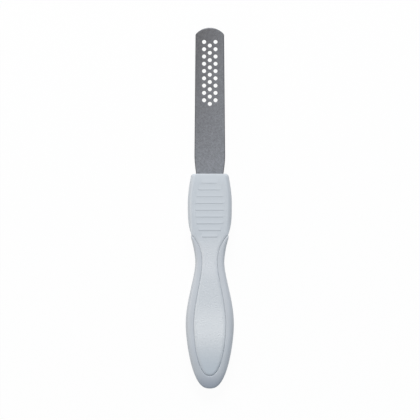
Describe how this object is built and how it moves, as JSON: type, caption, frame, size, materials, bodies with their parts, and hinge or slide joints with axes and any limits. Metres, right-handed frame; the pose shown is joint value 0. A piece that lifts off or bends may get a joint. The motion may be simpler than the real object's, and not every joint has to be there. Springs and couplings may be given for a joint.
{
  "type": "foot file",
  "caption": "Two-sided foot file: a perforated steel blade with an abrasive coat on each face, held in a waisted plastic handle with raised thumb ribs and a soft rim.",
  "frame": {"origin": "centre of the file's box, on the surface that it lies on", "axes": "+Y runs along the file to the blade's tip, +Z is the front face with the coarse coat, +X is to the right seen from the front"},
  "size_m": [0.027, 0.202, 0.015],
  "materials": {
    "blade_steel": "satin stainless steel",
    "coarse_grit": "coarse mineral grains bonded in nickel",
    "fine_grit": "fine mineral grains bonded in nickel",
    "shell_plastic": "satin moulded plastic, spark-eroded texture on the grip panel",
    "soft_rim": "smooth satin elastomer"
  },
  "bodies": {
    "root": {"blade": "blade_steel", "coarse_face": "coarse_grit", "fine_face": "fine_grit", "front_shell": "shell_plastic", "rear_shell": "shell_plastic", "grip_rim": "soft_rim"}
  },
  "joints": []
}
